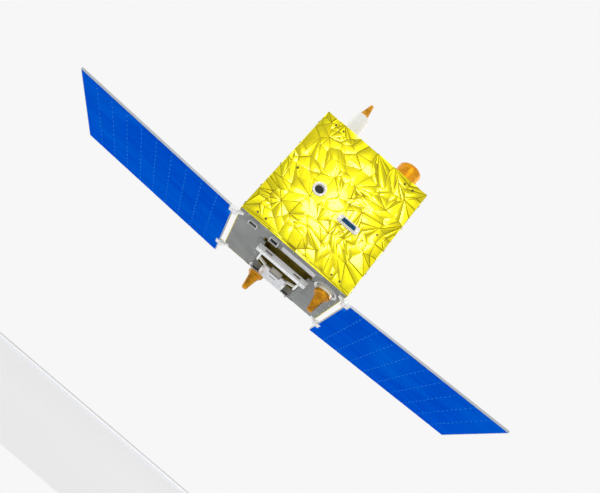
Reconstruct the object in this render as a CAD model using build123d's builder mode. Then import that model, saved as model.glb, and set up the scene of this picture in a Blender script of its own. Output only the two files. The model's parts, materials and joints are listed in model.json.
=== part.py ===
from build123d import *
import os
from math import cos, radians, sin

# A small cubic satellite with two solar wings. Millimetres, +Z up, +X along the wings, -Y towards
# the side that carries the umbilical sockets. The origin lies on the outer face of the release
# latch, on the centre line, so the bottom panel is release_depth above it.

# Bus: overall sizes are taken over the blankets
bus_width = 450.0
bus_depth = 444.0
bus_height = 478.0
panel_wall = 12.0
blanket_wall = 3.0
soft_gap = 0.3  # a blanket lies this far off what it covers and off its neighbours
fit_gap = 0.2  # a rigid piece that fits inside a cut-out
latch_setback = 255.0  # front face back to the origin
release_depth = 32.0  # latch face up to the bottom panel

# Recess under the bus and its tray
recess_width = 212.0
recess_start = 75.0  # front face to the recess
recess_length = 261.0
recess_height = 60.0
tray_wall = 2.0
tray_lip = 10.0
avionics_margin = 8.0  # inside the tray's roof on each side
avionics_height = 170.0

# Release mechanism
rail_half = 106.0
rail_start = 112.0
rail_height = 19.0
rail_reach = 31.0
rail_wall = 4.0
rail_slot = (28.0, 5.6)
rail_slot_x = 61.0
rail_slot_z = 10.5
strip_inner = 93.0
strip_outer = 117.0
strip_wall = 3.0
strip_start = 106.0
strip_end = 436.0
strip_slot = (16.0, 7.0)
strip_slot_inset = 14.0
dish_relief = 1.0  # round a dish, in the strips and hinge feet that pass it
arm_x = 83.0
arm_width = 8.0
arm_height = 12.0
arm_end = 228.0
link_arm_y = 200.0
link_width = 8.0
link_base = 1.0
link_height = 8.0
latch_half = 46.0
latch_start = 212.0
latch_end = 320.0
latch_wall = 5.0
latch_notch = (48.0, 30.0)
latch_slot = (25.0, 9.0)
latch_slot_setback = 274.0
latch_hole_radius = 3.0
latch_hole_inset = (8.0, 20.0)
latch_block_width = 46.0
latch_block_reach = 24.0
latch_block_height = 23.0
latch_block_bevel = 2.0
rib_width = 8.0
rib_height = 12.0
rib_start = 251.0
bracket_half = 90.0
bracket_wall = 6.0
bracket_gap = 1.0  # behind the recess
foot_half = 83.0
foot_inner = 53.0
foot_wall = 4.0
guide_pin_x = 80.0
guide_pin_radius = 3.6
guide_pin_reach = 10.0

# Slit sensors: centre x, centre behind the front face, width, length
slit_table = [(-162.0, 44.0, 38.0, 38.0), (-72.0, 42.0, 38.0, 46.0)]
slit_height = 8.0
slit_border = 5.0
slit_sink = 6.0
slit_glass = 1.5

# Access cover between the sensors and the front antenna
cover_left = -38.0
cover_right = 104.0
cover_start = 31.0
cover_length = 39.0
cover_wall = 2.0

# Cone antennas under the bus: centre x, centre behind the front face. The rear one's dish comes
# just behind the release bracket
dish_radius = 45.0
dish_gap = 5.0
rear_cone_start = recess_start + recess_length + bracket_gap + bracket_wall + dish_gap
cone_table = [(163.0, 79.0), (-56.0, rear_cone_start + dish_radius)]
dish_height = 8.0
dish_wall = 2.5
collar_radius = 31.5
collar_top = 18.0
collar_taper = 6.0  # degrees
cone_base_radius = 31.0
cone_base_top = 34.0
cone_ring_radius = 23.5
cone_ring_top = 40.0
cone_root_radius = 20.5
cone_tip_radius = 10.2
cone_reach = 98.0
cone_base_bevel = 5.0
cone_tip_round = 7.0

# Umbilical sockets on the front: centre x, height above the bottom panel
round_socket = (-71.5, 227.0)
round_flange_radius = 25.5
round_flange_wall = 4.0
round_flange_round = 1.0
round_barrel_radius = 20.5
round_bore_radius = 17.5
socket_depth = 9.0
insert_step = 1.5  # the insert's pocket is this much narrower than the bore
insert_wall = 4.0
contact_rings = [(0.62, 10), (0.3, 5)]  # share of the bore's radius, how many
contact_radius = 1.6
contact_depth = 2.0
socket_tail = 8.0
flat_socket = (78.5, 196.0)
flat_flange = (86.0, 30.0)
flat_flange_wall = 4.0
flat_flange_corner = 7.0
flat_shell = (62.0, 21.0)
flat_shell_slant = 80.0
flat_shell_wall = 2.0
flat_shell_reach = 5.0
flat_screw_radius = 2.6
flat_socket_depth = 12.0
flat_insert_gap = 1.0  # between the insert and the shell round it
flat_insert_height = 9.0
flat_contacts = (5.0, 5.6, 8, 2)  # pitch, row spacing, columns, rows
flat_contact_radius = 1.0

# Antennas on the top panel: centre x, centre behind the front face
mast = (-130.0, 112.0)
mast_radius = 31.0
mast_height = 141.0
mast_bevel = 7.0
mast_flange_radius = 38.0
mast_flange_wall = 5.0
mast_cone_radius = 19.5
mast_cone_tip = 6.0
mast_cone_round = 4.0
mast_cone_height = 65.0
drum = (132.0, 112.0)
drum_radius = 46.0
drum_height = 105.0
drum_round = 14.0
drum_flange_radius = 52.0
drum_flange_wall = 5.0

# Solar wings, each on two hinges
wing_length = 675.0
wing_wall = 8.0
wing_root_gap = 18.0  # side face to the wing's root edge
wing_start = 20.0  # front face back to the wing's front edge
wing_overhang = 93.0  # the wing reaches this far behind the back face
wing_tilt = 2.1  # degrees, tips up
cell_columns = 10
cell_gap = 5.0
cell_border = 2.5
cell_wall = 1.0
hinge_out = 10.0  # side face to the hinge axis
hinge_drop = 11.0  # bottom panel's outer face to the hinge axis
hinge_inset = 20.5  # back face to the middle of the rear hinge
barrel_radius = 8.0
barrel_length = 21.0
pin_radius = 3.0
pin_gap = 0.05
pin_head_radius = 5.0
pin_head = 1.5
ear_wall = 9.5
ear_gap = 0.5
lug_clear = 1.5
lug_reach = 20.0
foot_length = 19.0
hinge_foot_wall = 3.0
arm_root = 12.0
arm_inset = 3.0
arm_tip_back = 2.0  # the arm ends this far short of the hinge axis, inside the barrel
arm_tip_half = 5.0

# Places worked out from the sizes above
front_y = -latch_setback
back_y = front_y + bus_depth
panel_z = release_depth
top_z = panel_z + bus_height
skin = blanket_wall + soft_gap
side_x = bus_width / 2
frame_x = side_x - skin
frame_front = front_y + skin
frame_back = back_y - skin
frame_top = top_z - skin
frame_mid_y = (frame_front + frame_back) / 2
frame_length = frame_back - frame_front
wall_base = panel_z + panel_wall
wall_height = frame_top - panel_wall - wall_base
recess_mid_y = front_y + recess_start + recess_length / 2
hinge_x = side_x + hinge_out
hinge_z = panel_z - hinge_drop
wing_width = bus_depth - wing_start + wing_overhang
wing_mid_y = front_y + wing_start + wing_width / 2
wing_root = wing_root_gap - hinge_out  # root edge out from the hinge axis
lug_length = barrel_length + 2 * (ear_gap + ear_wall)
hinge_ys = [front_y + wing_start + lug_length / 2, back_y - hinge_inset]
tilt = radians(wing_tilt)

underside = Plane(origin=(0, 0, panel_z), x_dir=(1, 0, 0), z_dir=(0, 0, -1))
pieces = {}


def front_plane(spot, proud=0.0):
    """The front face at a socket: X right, Y up, Z out of the bus."""
    return Plane(
        origin=(spot[0], front_y - proud, panel_z + spot[1]),
        x_dir=(1, 0, 0),
        z_dir=(0, -1, 0),
    )


def roof_plane(spot, height=0.0):
    """The top panel at an antenna's centre."""
    return Plane.XY.offset(frame_top + height).shift_origin(
        (spot[0], front_y + spot[1], frame_top + height)
    )


def wing_plane(height=0.0):
    """The right wing's middle plane: X out from the hinge axis, Z up through the wing."""
    flat = Plane(
        origin=(hinge_x, wing_mid_y, hinge_z),
        x_dir=(cos(tilt), 0, sin(tilt)),
        z_dir=(-sin(tilt), 0, cos(tilt)),
    )
    return flat.offset(height)


# ---- Bus structure ----
with BuildPart() as bottom_panel:
    with BuildSketch(Plane.XY.offset(panel_z)):
        with Locations((0, frame_mid_y)):
            Rectangle(2 * frame_x, frame_length)
        with Locations((0, recess_mid_y)):
            Rectangle(recess_width, recess_length, mode=Mode.SUBTRACT)
    extrude(amount=panel_wall)
pieces["bottom_panel"] = bottom_panel.part

with BuildPart() as top_panel:
    with BuildSketch(Plane.XY.offset(frame_top - panel_wall)):
        with Locations((0, frame_mid_y)):
            Rectangle(2 * frame_x, frame_length)
    extrude(amount=panel_wall)
pieces["top_panel"] = top_panel.part

# Side panels run the full depth, and the front and back ones stand between them
# columns: name, centre x, centre y, size x, size y
side_wall_x = frame_x - panel_wall / 2
cross_width = 2 * (frame_x - panel_wall)
wall_table = [
    ("left_panel", -side_wall_x, frame_mid_y, panel_wall, frame_length),
    ("right_panel", side_wall_x, frame_mid_y, panel_wall, frame_length),
    ("front_panel", 0, frame_front + panel_wall / 2, cross_width, panel_wall),
    ("back_panel", 0, frame_back - panel_wall / 2, cross_width, panel_wall),
]
for name, x, y, size_x, size_y in wall_table:
    with BuildPart() as wall:
        with BuildSketch(Plane.XY.offset(wall_base)):
            with Locations((x, y)):
                Rectangle(size_x, size_y)
        extrude(amount=wall_height)
        if name == "front_panel":
            with BuildSketch(front_plane(round_socket)):
                Circle(round_barrel_radius + fit_gap)
            extrude(amount=-skin - panel_wall, mode=Mode.SUBTRACT)
            with BuildSketch(front_plane(flat_socket)):
                Trapezoid(
                    flat_shell[0] + 2 * fit_gap, flat_shell[1] + 2 * fit_gap, flat_shell_slant
                )
            extrude(amount=-skin - panel_wall, mode=Mode.SUBTRACT)
    pieces[name] = wall.part

with BuildPart() as recess_tray:
    with BuildSketch(Plane.XY.offset(panel_z)):
        with Locations((0, recess_mid_y)):
            Rectangle(recess_width - 2 * fit_gap, recess_length - 2 * fit_gap)
    extrude(amount=recess_height)
    with BuildSketch(Plane.XY.offset(wall_base)):
        with Locations((0, recess_mid_y)):
            Rectangle(recess_width + 2 * tray_lip, recess_length + 2 * tray_lip)
    extrude(amount=tray_wall)
    with BuildSketch(Plane.XY.offset(panel_z)):
        with Locations((0, recess_mid_y)):
            Rectangle(
                recess_width - 2 * (fit_gap + tray_wall),
                recess_length - 2 * (fit_gap + tray_wall),
            )
    extrude(amount=recess_height - tray_wall, mode=Mode.SUBTRACT)
pieces["recess_tray"] = recess_tray.part

with BuildPart() as avionics_stack:
    with BuildSketch(Plane.XY.offset(panel_z + recess_height)):
        with Locations((0, recess_mid_y)):
            Rectangle(recess_width - 2 * avionics_margin, recess_length - 2 * avionics_margin)
    extrude(amount=avionics_height)
pieces["avionics_stack"] = avionics_stack.part

# ---- Insulation blankets ----
# The front and back ones cover the full width, the side ones fit between them, and the top one
# lies inside all four. columns: name, centre x, centre y, size x, size y
blanket_mid_y = (front_y + back_y) / 2
side_blanket_length = bus_depth - 2 * skin
blanket_table = [
    ("front_blanket", 0, front_y + blanket_wall / 2, bus_width, blanket_wall),
    ("back_blanket", 0, back_y - blanket_wall / 2, bus_width, blanket_wall),
    ("left_blanket", blanket_wall / 2 - side_x, blanket_mid_y, blanket_wall, side_blanket_length),
    ("right_blanket", side_x - blanket_wall / 2, blanket_mid_y, blanket_wall, side_blanket_length),
]
for name, x, y, size_x, size_y in blanket_table:
    with BuildPart() as blanket:
        with BuildSketch(Plane.XY.offset(panel_z)):
            with Locations((x, y)):
                Rectangle(size_x, size_y)
        extrude(amount=bus_height)
        if name == "front_blanket":
            with BuildSketch(front_plane(round_socket)):
                Circle(round_barrel_radius + soft_gap)
            extrude(amount=-skin, mode=Mode.SUBTRACT)
            with BuildSketch(front_plane(flat_socket)):
                Rectangle(flat_shell[0] + 2 * soft_gap, flat_shell[1] + 2 * soft_gap)
            extrude(amount=-skin, mode=Mode.SUBTRACT)
    pieces[name] = blanket.part

with BuildPart() as top_blanket:
    with BuildSketch(Plane.XY.offset(top_z - blanket_wall)):
        with Locations((0, blanket_mid_y)):
            Rectangle(bus_width - 2 * skin, bus_depth - 2 * skin)
        with Locations((mast[0], front_y + mast[1])):
            Circle(mast_flange_radius + soft_gap, mode=Mode.SUBTRACT)
        with Locations((drum[0], front_y + drum[1])):
            Circle(drum_flange_radius + soft_gap, mode=Mode.SUBTRACT)
    extrude(amount=blanket_wall)
pieces["top_blanket"] = top_blanket.part

# ---- Umbilical sockets ----
with BuildPart() as round_socket_shell:
    with BuildSketch(front_plane(round_socket, soft_gap)):
        Circle(round_flange_radius)
    extrude(amount=round_flange_wall)
    fillet(round_socket_shell.edges().sort_by(Axis.Y)[0], round_flange_round)
    with BuildSketch(front_plane(round_socket, soft_gap)):
        Circle(round_barrel_radius)
    extrude(amount=-(soft_gap + skin + panel_wall + socket_tail))
    mouth = soft_gap + round_flange_wall
    with BuildSketch(front_plane(round_socket, mouth)):
        Circle(round_bore_radius)
    extrude(amount=-socket_depth, mode=Mode.SUBTRACT)
    with BuildSketch(front_plane(round_socket, mouth)):
        Circle(round_bore_radius - insert_step)
    extrude(amount=-(socket_depth + insert_wall), mode=Mode.SUBTRACT)
pieces["round_socket_shell"] = round_socket_shell.part

with BuildPart() as round_socket_insert:
    with BuildSketch(front_plane(round_socket, mouth - socket_depth)):
        Circle(round_bore_radius - insert_step - fit_gap)
        for share, count in contact_rings:
            with PolarLocations(share * round_bore_radius, count):
                Circle(contact_radius, mode=Mode.SUBTRACT)
    extrude(amount=-contact_depth)
    with BuildSketch(front_plane(round_socket, mouth - socket_depth - contact_depth)):
        Circle(round_bore_radius - insert_step - fit_gap)
    extrude(amount=contact_depth - insert_wall)
pieces["round_socket_insert"] = round_socket_insert.part

with BuildPart() as flat_socket_shell:
    with BuildSketch(front_plane(flat_socket, soft_gap)):
        Rectangle(*flat_flange)
        chamfer(vertices(), flat_flange_corner)
        with GridLocations((flat_flange[0] + flat_shell[0]) / 2, 0, 2, 1):
            Circle(flat_screw_radius, mode=Mode.SUBTRACT)
    extrude(amount=flat_flange_wall)
    with BuildSketch(front_plane(flat_socket, soft_gap)):
        Trapezoid(flat_shell[0], flat_shell[1], flat_shell_slant)
    extrude(amount=flat_flange_wall + flat_shell_reach)
    with BuildSketch(front_plane(flat_socket, soft_gap)):
        Trapezoid(flat_shell[0], flat_shell[1], flat_shell_slant)
    extrude(amount=-(soft_gap + skin + panel_wall + socket_tail))
    with BuildSketch(front_plane(flat_socket, soft_gap + flat_flange_wall + flat_shell_reach)):
        Trapezoid(
            flat_shell[0] - 2 * flat_shell_wall, flat_shell[1] - 2 * flat_shell_wall, flat_shell_slant
        )
    extrude(amount=-flat_socket_depth, mode=Mode.SUBTRACT)
pieces["flat_socket_shell"] = flat_socket_shell.part

flat_insert_inset = 2 * (flat_shell_wall + flat_insert_gap)
with BuildPart() as flat_socket_insert:
    flat_floor = soft_gap + flat_flange_wall + flat_shell_reach - flat_socket_depth
    with BuildSketch(front_plane(flat_socket, flat_floor)):
        Trapezoid(
            flat_shell[0] - flat_insert_inset, flat_shell[1] - flat_insert_inset, flat_shell_slant
        )
    extrude(amount=flat_insert_height)
    with BuildSketch(front_plane(flat_socket, flat_floor + flat_insert_height)):
        with GridLocations(*flat_contacts):
            Circle(flat_contact_radius)
    extrude(amount=-contact_depth, mode=Mode.SUBTRACT)
pieces["flat_socket_insert"] = flat_socket_insert.part

# ---- Slit sensors and access cover under the bus ----
with BuildPart() as slit_sensors:
    for x, setback, width, length in slit_table:
        here = underside.shift_origin((x, front_y + setback, panel_z))
        with BuildSketch(here):
            RectangleRounded(width, length, slit_border - 1)
        extrude(amount=slit_height)
        with BuildSketch(here.offset(slit_height)):
            Rectangle(width - 2 * slit_border, length - 2 * slit_border)
        extrude(amount=-slit_sink, mode=Mode.SUBTRACT)
pieces["slit_sensors"] = slit_sensors.part

with BuildPart() as slit_windows:
    for x, setback, width, length in slit_table:
        here = underside.shift_origin((x, front_y + setback, panel_z))
        with BuildSketch(here.offset(slit_height - slit_sink)):
            Rectangle(
                width - 2 * (slit_border + fit_gap), length - 2 * (slit_border + fit_gap)
            )
        extrude(amount=slit_glass)
pieces["slit_windows"] = slit_windows.part

with BuildPart() as access_cover:
    with BuildSketch(underside):
        with Locations(((cover_left + cover_right) / 2, -(front_y + cover_start + cover_length / 2))):
            Rectangle(cover_right - cover_left, cover_length)
    extrude(amount=cover_wall)
pieces["access_cover"] = access_cover.part

# ---- Cone antennas under the bus: a shallow dish, a collar in it and the cone on the collar ----
with BuildPart() as cone_dishes:
    for x, setback in cone_table:
        here = underside.shift_origin((x, front_y + setback, panel_z))
        with BuildSketch(here):
            Circle(dish_radius)
        extrude(amount=dish_height)
        with BuildSketch(here.offset(dish_height)):
            Circle(dish_radius - dish_wall)
        extrude(amount=-(dish_height - dish_wall), mode=Mode.SUBTRACT)
pieces["cone_dishes"] = cone_dishes.part

with BuildPart() as cone_collars:
    for x, setback in cone_table:
        here = underside.shift_origin((x, front_y + setback, panel_z))
        with BuildSketch(here.offset(dish_wall)):
            Circle(collar_radius)
        extrude(amount=collar_top - dish_wall, taper=collar_taper)
pieces["cone_collars"] = cone_collars.part

with BuildPart() as antenna_cones:
    for x, setback in cone_table:
        axis_plane = Plane(
            origin=(x, front_y + setback, panel_z), x_dir=(1, 0, 0), z_dir=(0, 1, 0)
        )  # X out from the axis, Y down out of the bus
        with BuildSketch(axis_plane):
            with BuildLine():
                Polyline(
                    (0, collar_top),
                    (cone_base_radius, collar_top),
                    (cone_base_radius, cone_base_top - cone_base_bevel),
                    (cone_base_radius - cone_base_bevel, cone_base_top),
                    (cone_ring_radius, cone_base_top),
                    (cone_ring_radius, cone_ring_top),
                    (cone_root_radius, cone_ring_top),
                    (cone_tip_radius, cone_reach),
                    (0, cone_reach),
                    close=True,
                )
            make_face()
        revolve(axis=Axis((x, front_y + setback, 0), (0, 0, 1)))
    tip_edges = antenna_cones.edges().group_by(Axis.Z)[0].filter_by(GeomType.CIRCLE)
    fillet(tip_edges, cone_tip_round)
pieces["antenna_cones"] = antenna_cones.part

# ---- Antennas on the top panel ----
with BuildPart() as mast_antenna:
    with BuildSketch(roof_plane(mast)):
        Circle(mast_flange_radius)
    extrude(amount=mast_flange_wall)
    with BuildSketch(roof_plane(mast)):
        Circle(mast_radius)
    extrude(amount=mast_height)
    chamfer(mast_antenna.edges().sort_by(Axis.Z)[-1], mast_bevel)
pieces["mast_antenna"] = mast_antenna.part

with BuildPart() as mast_cone:
    with BuildSketch(roof_plane(mast, mast_height)):
        Circle(mast_cone_radius)
    with BuildSketch(roof_plane(mast, mast_height + mast_cone_height)):
        Circle(mast_cone_tip)
    loft()
    fillet(mast_cone.edges().sort_by(Axis.Z)[-1], mast_cone_round)
pieces["mast_cone"] = mast_cone.part

with BuildPart() as drum_flange:
    with BuildSketch(roof_plane(drum)):
        Circle(drum_flange_radius)
    extrude(amount=drum_flange_wall)
pieces["drum_flange"] = drum_flange.part

with BuildPart() as drum_antenna:
    with BuildSketch(roof_plane(drum, drum_flange_wall)):
        Circle(drum_radius)
    extrude(amount=drum_height - drum_flange_wall)
    fillet(drum_antenna.edges().sort_by(Axis.Z)[-1], drum_round)
pieces["drum_antenna"] = drum_antenna.part

# ---- Release mechanism ----
rail_y = front_y + rail_start
rail_end_y = rail_y + rail_reach
strip_z = panel_z - strip_wall
recess_end_y = front_y + recess_start + recess_length
bracket_y = recess_end_y + bracket_gap

with BuildPart() as release_strips:
    with BuildSketch(underside):
        strip_mid = -(front_y + (strip_start + strip_end) / 2)
        with Locations(((strip_inner + strip_outer) / 2, strip_mid)):
            Rectangle(strip_outer - strip_inner, strip_end - strip_start)
        with Locations(((strip_inner + strip_outer) / 2, -(front_y + strip_end - strip_slot_inset))):
            SlotOverall(*strip_slot, mode=Mode.SUBTRACT)
        mirror(about=Plane.YZ)
        for x, setback in cone_table:
            with Locations((x, -(front_y + setback))):
                Circle(dish_radius + dish_relief, mode=Mode.SUBTRACT)
    extrude(amount=strip_wall)
pieces["release_strips"] = release_strips.part

with BuildPart() as release_rail:
    with BuildSketch(Plane.YZ):
        with Locations((rail_y + rail_wall / 2, rail_height / 2)):
            Rectangle(rail_wall, rail_height)
        with Locations((rail_y + rail_reach / 2, rail_wall / 2)):
            Rectangle(rail_reach, rail_wall)
    extrude(amount=rail_half, both=True)
    with BuildSketch(Plane.XZ.offset(-rail_y)):
        with Locations((-rail_slot_x, rail_slot_z), (rail_slot_x, rail_slot_z)):
            Rectangle(*rail_slot)
    extrude(amount=-rail_wall, mode=Mode.SUBTRACT)
pieces["release_rail"] = release_rail.part

with BuildPart() as release_posts:
    with BuildSketch(Plane.XY.offset(rail_wall)):
        with Locations(
            ((strip_inner + rail_half) / 2, (rail_y + rail_wall + rail_end_y) / 2)
        ):
            Rectangle(rail_half - strip_inner, rail_reach - rail_wall)
        mirror(about=Plane.YZ)
    extrude(amount=strip_z - rail_wall)
pieces["release_posts"] = release_posts.part

with BuildPart() as release_arms:
    with BuildSketch(Plane.XY):
        with Locations((arm_x, (rail_end_y + front_y + arm_end) / 2)):
            Rectangle(arm_width, front_y + arm_end - rail_end_y)
        mirror(about=Plane.YZ)
    extrude(amount=arm_height)
pieces["release_arms"] = release_arms.part

with BuildPart() as release_latch:
    with BuildSketch(Plane.XY):
        with Locations((0, front_y + (latch_start + latch_end) / 2)):
            Rectangle(2 * latch_half, latch_end - latch_start)
        with Locations((0, front_y + latch_start + latch_notch[1] / 2)):
            Rectangle(*latch_notch, mode=Mode.SUBTRACT)
        with Locations((0, front_y + latch_slot_setback)):
            Rectangle(*latch_slot, mode=Mode.SUBTRACT)
        hole_x = latch_half - latch_hole_inset[0]
        hole_y = front_y + latch_end - latch_hole_inset[1]
        with Locations((-hole_x, hole_y), (hole_x, hole_y)):
            Circle(latch_hole_radius, mode=Mode.SUBTRACT)
    extrude(amount=latch_wall)
pieces["release_latch"] = release_latch.part

with BuildPart() as latch_block:
    with BuildSketch(Plane.XY.offset(latch_wall)):
        with Locations((0, front_y + latch_start + latch_notch[1] + latch_block_reach / 2)):
            Rectangle(latch_block_width, latch_block_reach)
    extrude(amount=latch_block_height - latch_wall)
    chamfer(latch_block.edges().filter_by(Axis.Y), latch_block_bevel)
pieces["latch_block"] = latch_block.part

with BuildPart() as latch_ribs:
    with BuildSketch(Plane.XY):
        with Locations((latch_half + rib_width / 2, front_y + (rib_start + latch_end) / 2)):
            Rectangle(rib_width, latch_end - rib_start)
        mirror(about=Plane.YZ)
    extrude(amount=rib_height)
pieces["latch_ribs"] = latch_ribs.part

# Each link is a flat bar from an arm's inner face to the corner of the latch plate
link_start = Vector(arm_x - arm_width / 2, front_y + link_arm_y)
link_finish = Vector(latch_half, front_y + latch_start + link_width)
with BuildPart() as release_links:
    with BuildSketch(Plane.XY.offset(link_base)):
        with BuildLine():
            Polyline(
                (link_start.X, link_start.Y - link_width / 2),
                (link_start.X, link_start.Y + link_width / 2),
                (link_finish.X, link_finish.Y + link_width / 2),
                (link_finish.X, link_finish.Y - link_width / 2),
                close=True,
            )
        make_face()
        mirror(about=Plane.YZ)
    extrude(amount=link_height)
pieces["release_links"] = release_links.part

# The bracket's foot runs back from the latch plate, its middle in one piece with the wall
foot_reach = bracket_y - front_y - latch_end
foot_mid_y = bracket_y - foot_reach / 2
with BuildPart() as release_bracket:
    with BuildSketch(Plane.XY):
        with Locations((0, bracket_y + bracket_wall / 2)):
            Rectangle(2 * bracket_half, bracket_wall)
    extrude(amount=panel_z)
    with BuildSketch(Plane.XY):
        with Locations((0, foot_mid_y)):
            Rectangle(2 * foot_inner, foot_reach)
    extrude(amount=foot_wall)
pieces["release_bracket"] = release_bracket.part

with BuildPart() as bracket_feet:
    with BuildSketch(Plane.XY):
        with Locations(((foot_inner + foot_half) / 2, foot_mid_y)):
            Rectangle(foot_half - foot_inner, foot_reach)
        mirror(about=Plane.YZ)
    extrude(amount=foot_wall)
pieces["bracket_feet"] = bracket_feet.part

with BuildPart() as guide_pins:
    with BuildSketch(Plane.XY):
        with Locations((-guide_pin_x, foot_mid_y), (guide_pin_x, foot_mid_y)):
            Circle(guide_pin_radius)
    extrude(amount=-guide_pin_reach)
    chamfer(guide_pins.edges().group_by(Axis.Z)[0], guide_pin_radius / 3)
pieces["guide_pins"] = guide_pins.part

# ---- Wing hinges, their feet cut clear of the dishes ----
with BuildPart() as hinge_brackets:
    for y in hinge_ys:
        with BuildSketch(Plane.XZ.offset(-y)):
            with Locations((side_x - foot_length / 2, panel_z - hinge_foot_wall / 2)):
                Rectangle(foot_length, hinge_foot_wall)
            with BuildLine():
                Polyline(
                    (side_x - arm_root - arm_inset, panel_z - hinge_foot_wall),
                    (side_x - arm_inset, panel_z - hinge_foot_wall),
                    (hinge_x - arm_tip_back, hinge_z + arm_tip_half),
                    (hinge_x - arm_tip_back, hinge_z - arm_tip_half),
                    close=True,
                )
            make_face()
            with Locations((hinge_x, hinge_z)):
                Circle(barrel_radius)
                Circle(pin_radius + pin_gap, mode=Mode.SUBTRACT)
        extrude(amount=barrel_length / 2, both=True)
    mirror(about=Plane.YZ)
    with BuildSketch(underside):
        for x, setback in cone_table:
            with Locations((x, -(front_y + setback))):
                Circle(dish_radius + dish_relief)
    extrude(amount=hinge_foot_wall, mode=Mode.SUBTRACT)
pieces["hinge_brackets"] = hinge_brackets.part

# ---- Right wing, then the left one as its mirror image ----
with BuildPart() as wing_panel:
    with BuildSketch(wing_plane()):
        with Locations((wing_root + wing_length / 2, 0)):
            Rectangle(wing_length, wing_width)
        lug_notch = lug_reach - wing_root
        for y in hinge_ys:
            with Locations((wing_root + lug_notch / 2, y - wing_mid_y)):
                Rectangle(lug_notch, lug_length, mode=Mode.SUBTRACT)
    extrude(amount=wing_wall / 2, both=True)

column_pitch = (wing_length - 2 * cell_border + cell_gap) / cell_columns
with BuildPart() as wing_cells:
    with BuildSketch(wing_plane(-wing_wall / 2)):
        with Locations((wing_root + wing_length / 2, 0)):
            with GridLocations(column_pitch, 0, cell_columns, 1):
                Rectangle(column_pitch - cell_gap, wing_width - 2 * cell_border)
        for y in hinge_ys:
            with Locations((wing_root + lug_notch / 2, y - wing_mid_y)):
                Rectangle(lug_notch + cell_gap, lug_length + cell_gap, mode=Mode.SUBTRACT)
    extrude(amount=-cell_wall)

with BuildPart() as hinge_lugs:
    for y in hinge_ys:
        side_view = Plane(
            origin=(hinge_x, y, hinge_z), x_dir=(cos(tilt), 0, sin(tilt)), z_dir=(0, -1, 0)
        )
        block_start = barrel_radius + lug_clear
        with BuildSketch(side_view):
            with Locations(((block_start + lug_reach) / 2, 0)):
                Rectangle(lug_reach - block_start, wing_wall)
        extrude(amount=lug_length / 2, both=True)
        for side in (-1, 1):
            ear_middle = side * (lug_length - ear_wall) / 2
            with BuildSketch(side_view.offset(ear_middle)):
                Circle(barrel_radius)
                with Locations((block_start / 2, 0)):
                    Rectangle(block_start, wing_wall)
                Circle(pin_radius + pin_gap, mode=Mode.SUBTRACT)
            extrude(amount=ear_wall / 2, both=True)

with BuildPart() as hinge_pins:
    for y in hinge_ys:
        pin_plane = Plane(origin=(hinge_x, y, hinge_z), x_dir=(1, 0, 0), z_dir=(0, -1, 0))
        with BuildSketch(pin_plane):
            Circle(pin_radius)
        extrude(amount=lug_length / 2 + pin_head, both=True)
        for side in (-1, 1):
            with BuildSketch(pin_plane.offset(side * (lug_length + pin_head) / 2)):
                Circle(pin_head_radius)
            extrude(amount=pin_head / 2, both=True)

wing_table = {
    "wing_panel": wing_panel,
    "wing_cells": wing_cells,
    "hinge_lugs": hinge_lugs,
    "hinge_pins": hinge_pins,
}
for name, right in wing_table.items():
    pieces["right_" + name] = right.part
    with BuildPart() as left:
        add(mirror(right.part, about=Plane.YZ))
    pieces["left_" + name] = left.part

os.makedirs("parts", exist_ok=True)
for name, part in pieces.items():
    part.label = name
    export_step(part, f"parts/{name}.step")
print(len(pieces), "pieces written")
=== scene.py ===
import bpy
import bmesh
import json
import math
import random
from mathutils import Matrix, Vector, noise


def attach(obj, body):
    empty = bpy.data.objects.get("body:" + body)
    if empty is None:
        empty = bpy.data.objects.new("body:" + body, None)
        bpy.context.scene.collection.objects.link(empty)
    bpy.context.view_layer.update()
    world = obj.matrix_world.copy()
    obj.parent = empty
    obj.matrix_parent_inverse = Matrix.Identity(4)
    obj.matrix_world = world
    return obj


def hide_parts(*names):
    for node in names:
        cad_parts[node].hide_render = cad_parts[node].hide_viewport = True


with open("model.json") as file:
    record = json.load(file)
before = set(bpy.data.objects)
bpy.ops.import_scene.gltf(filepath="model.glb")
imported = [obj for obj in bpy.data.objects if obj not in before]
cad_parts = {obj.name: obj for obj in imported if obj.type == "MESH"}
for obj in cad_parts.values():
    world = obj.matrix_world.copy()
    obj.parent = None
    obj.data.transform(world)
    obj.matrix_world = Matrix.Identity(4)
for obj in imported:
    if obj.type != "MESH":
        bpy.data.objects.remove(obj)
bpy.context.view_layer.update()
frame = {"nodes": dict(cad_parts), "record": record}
nodes = frame["nodes"]
print("frame loaded:", len(nodes), "nodes")

# The camera looks up at the satellite from floor level, rolled so the wings run corner to corner
camera = {
    "place": (0.00235, -2.35084, -0.72929),
    "forward": (0.00047, 0.93617, 0.35155),
    "up": (-0.64902, -0.26716, 0.71231),
    "lens": 41.39,
    "sensor": 36,
    "far": 100,
}


def facing(forward, up, place):
    forward = Vector(forward).normalized()
    right = forward.cross(Vector(up)).normalized()
    turned = Matrix((right, right.cross(forward), -forward)).transposed().to_4x4()
    turned.translation = place
    return turned


bpy.ops.object.camera_add()
eye = bpy.context.active_object
eye.matrix_world = facing(camera["forward"], camera["up"], camera["place"])
eye.data.lens = camera["lens"]
eye.data.sensor_width = camera["sensor"]
eye.data.clip_end = camera["far"]
bpy.context.scene.camera = eye
print("camera placed")


# Small helpers for modelling
def deselectAll():
    if bpy.context.mode != "OBJECT":
        bpy.ops.object.mode_set(mode="OBJECT")
    bpy.ops.object.select_all(action="DESELECT")


def pick(*objects):
    deselectAll()
    for one in objects:
        one.select_set(True)
    bpy.context.view_layer.objects.active = objects[0]


def latest(name):
    made = bpy.context.active_object
    made.name = name
    return made


def startEdit(obj, mode="FACE"):
    pick(obj)
    bpy.ops.object.mode_set(mode="EDIT")
    bpy.ops.mesh.select_mode(type=mode)
    bpy.ops.mesh.select_all(action="DESELECT")


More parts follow.
